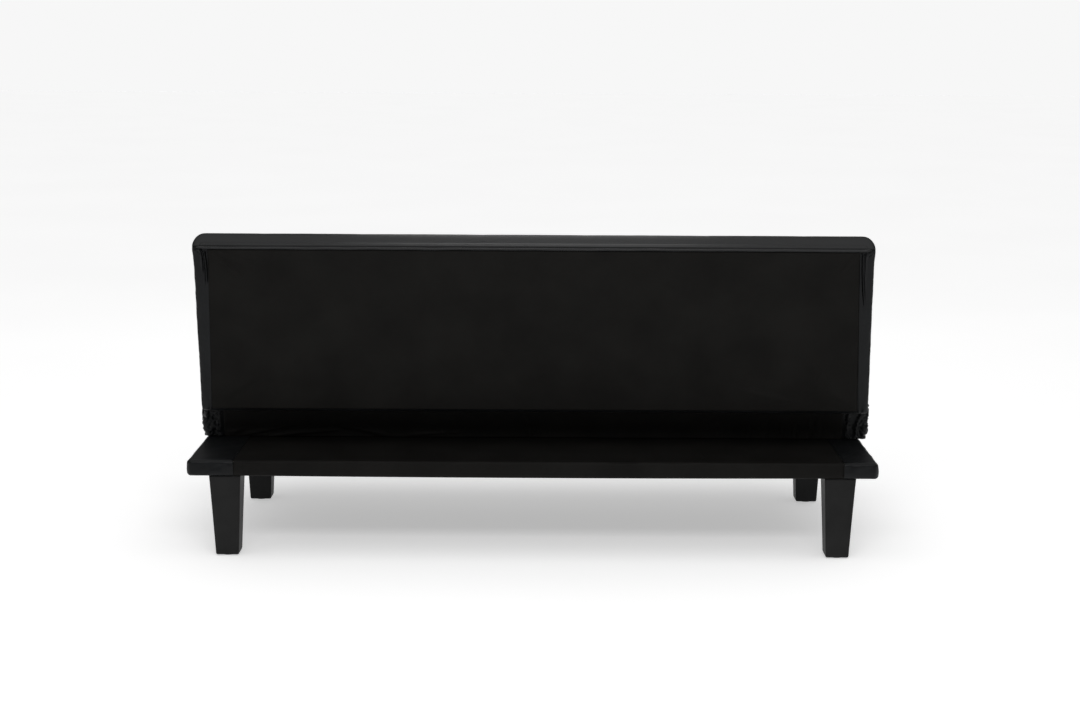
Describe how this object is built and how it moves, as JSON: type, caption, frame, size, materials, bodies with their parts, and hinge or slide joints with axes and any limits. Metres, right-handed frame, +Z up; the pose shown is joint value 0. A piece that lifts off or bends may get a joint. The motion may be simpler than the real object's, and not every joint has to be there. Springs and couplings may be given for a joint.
{
  "type": "futon sofa bed",
  "caption": "Armless sofa whose back cushion folds flat on ratchet hinges to make a bed, on a thin upholstered platform with tapered legs.",
  "frame": {"origin": "on the floor, under the middle of the sofa's footprint", "axes": "+X runs across the sofa and is its longest side, -Y is the front that people sit at, +Z is up"},
  "size_m": [1.676, 0.752, 0.7721],
  "materials": {
    "vinyl": "satin",
    "cloth": "matte",
    "leg_plastic": "satin",
    "timber": "matte",
    "plywood": "matte",
    "foam": "matte",
    "steel": "satin",
    "zinc": "satin",
    "felt": "matte"
  },
  "bodies": {
    "sofa_base": {"leg_front_left": "leg_plastic", "leg_front_right": "leg_plastic", "leg_rear_left": "leg_plastic", "leg_rear_right": "leg_plastic", "glide_front_left": "felt", "glide_front_right": "felt", "glide_rear_left": "felt", "glide_rear_right": "felt", "leg_plate_front_left": "steel", "leg_plate_front_right": "steel", "leg_plate_rear_left": "steel", "leg_plate_rear_right": "steel", "leg_bolt_front_left": "zinc", "leg_bolt_front_right": "zinc", "leg_bolt_rear_left": "zinc", "leg_bolt_rear_right": "zinc", "base_rail_front": "timber", "base_rail_middle": "timber", "base_rail_rear": "timber", "base_rail_centre": "timber", "base_rail_left": "timber", "base_rail_right": "timber", "base_deck": "plywood", "base_dust_cloth": "cloth", "base_cover_centre": "cloth", "base_cover_left": "vinyl", "base_cover_right": "vinyl", "seat_board_front": "timber", "seat_board_rear": "timber", "seat_board_left": "timber", "seat_board_right": "timber", "seat_slat_1": "plywood", "seat_slat_2": "plywood", "seat_slat_3": "plywood", "seat_slat_4": "plywood", "seat_foam": "foam", "seat_cover": "vinyl", "seat_rear_cloth": "cloth", "hinge_lower_arm_left": "steel", "hinge_lower_arm_right": "steel", "hinge_pin_left": "zinc", "hinge_pin_right": "zinc", "hinge_screw_seat_left": "zinc", "hinge_screw_seat_right": "zinc"},
    "back_cushion": {"back_cover": "vinyl", "back_rear_cloth": "cloth", "back_welt": "vinyl", "back_board_bottom": "timber", "back_board_top": "timber", "back_board_left": "timber", "back_board_right": "timber", "back_slat_1": "plywood", "back_slat_2": "plywood", "back_slat_3": "plywood", "back_slat_4": "plywood", "back_foam": "foam", "hinge_upper_arm_left": "steel", "hinge_upper_arm_right": "steel", "hinge_screw_back_left": "zinc", "hinge_screw_back_right": "zinc"}
  },
  "joints": [
    {"name": "back_recline", "type": "hinge", "parent": "sofa_base", "child": "back_cushion", "pos_m": [0, 0.126, 0.339], "axis": [-1, 0, 0], "range_deg": [-12, 80]}
  ]
}
